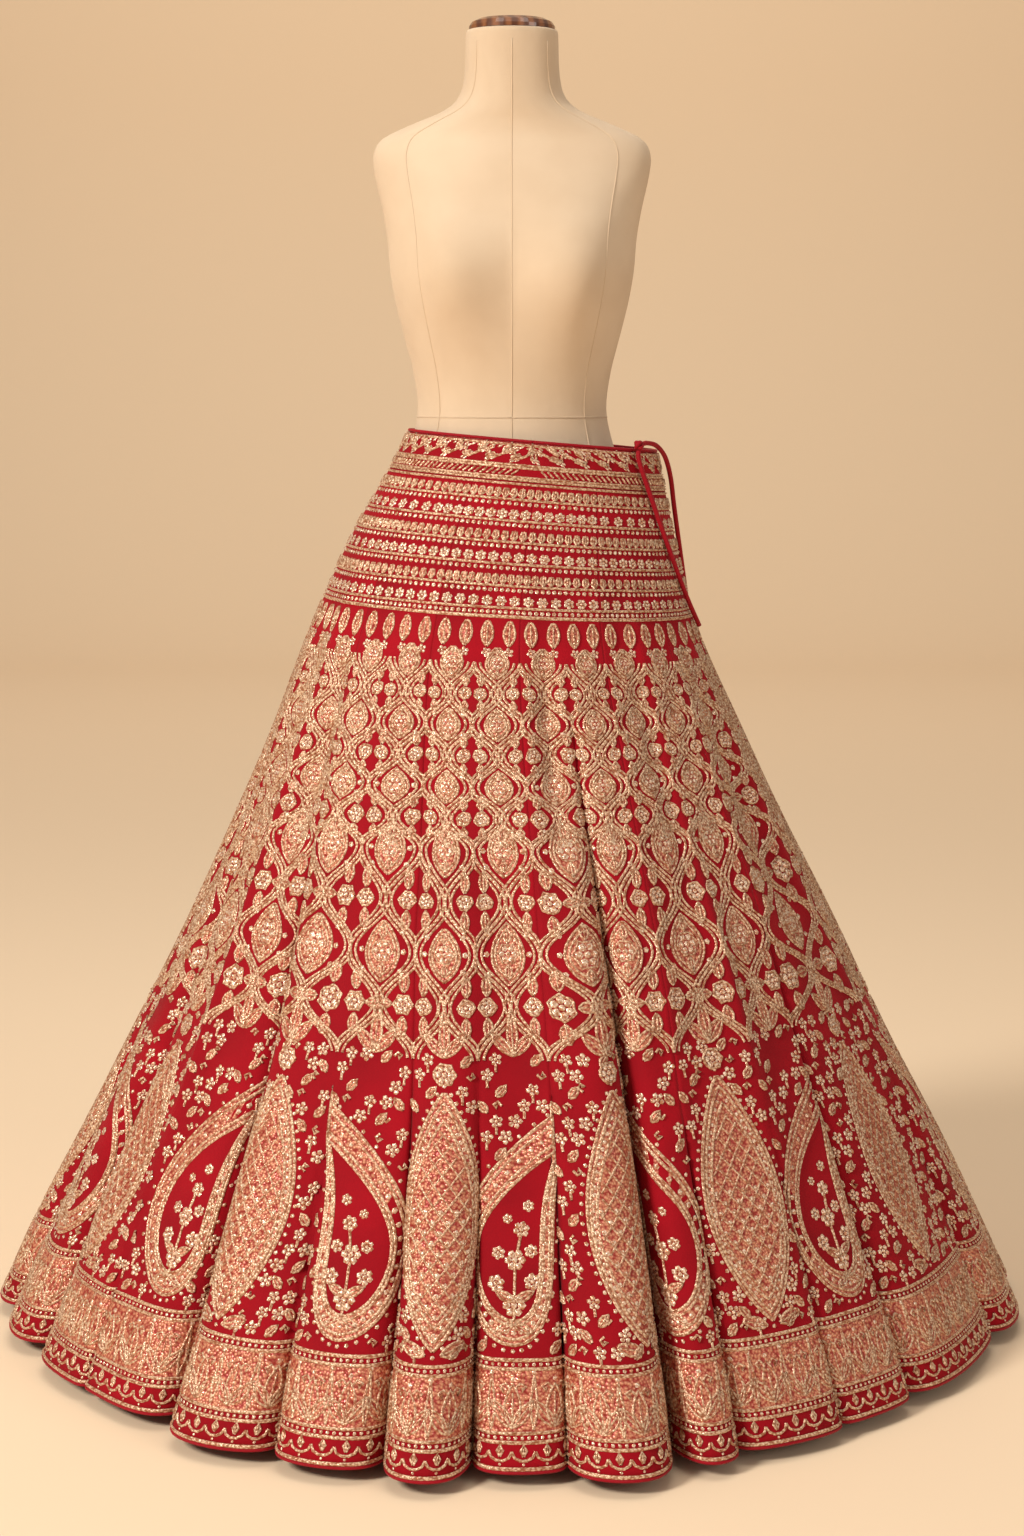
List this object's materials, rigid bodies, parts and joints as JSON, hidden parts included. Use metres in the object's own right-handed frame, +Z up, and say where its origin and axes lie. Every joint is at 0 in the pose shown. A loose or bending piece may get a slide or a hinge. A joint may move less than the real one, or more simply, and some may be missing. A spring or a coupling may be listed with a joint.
{
  "type": "lehenga skirt on dress form",
  "caption": "Flared, gored bridal skirt in crimson silk with dense gold embroidery, worn by a limbless linen dress form on a plain pole stand.",
  "frame": {"origin": "centre of the underside of the stand's round foot", "axes": "+Z up the form, -Y out of the skirt's front, +X towards the hip where the drawstring hangs"},
  "size_m": [1.1963, 1.1802, 1.4894],
  "materials": {
    "embroidered_silk": "crimson silk densely worked in pale gold cord and sequins",
    "red_piping": "satin crimson cord",
    "form_canvas": "natural linen canvas",
    "varnished_wood": "varnished brown wood",
    "stand_iron": "satin black"
  },
  "bodies": {
    "root": {"gore_01": "embroidered_silk", "gore_02": "embroidered_silk", "gore_03": "embroidered_silk", "gore_04": "embroidered_silk", "gore_05": "embroidered_silk", "gore_06": "embroidered_silk", "gore_07": "embroidered_silk", "gore_08": "embroidered_silk", "gore_09": "embroidered_silk", "gore_10": "embroidered_silk", "gore_11": "embroidered_silk", "gore_12": "embroidered_silk", "gore_13": "embroidered_silk", "gore_14": "embroidered_silk", "waistband": "embroidered_silk", "hem_piping": "red_piping", "waist_piping": "red_piping", "drawstring_knot": "red_piping", "drawstring_front_tie": "red_piping", "drawstring_side_tie": "red_piping", "form_torso": "form_canvas", "form_neck_cap": "varnished_wood", "stand_pole": "stand_iron", "stand_foot": "stand_iron"}
  },
  "joints": []
}
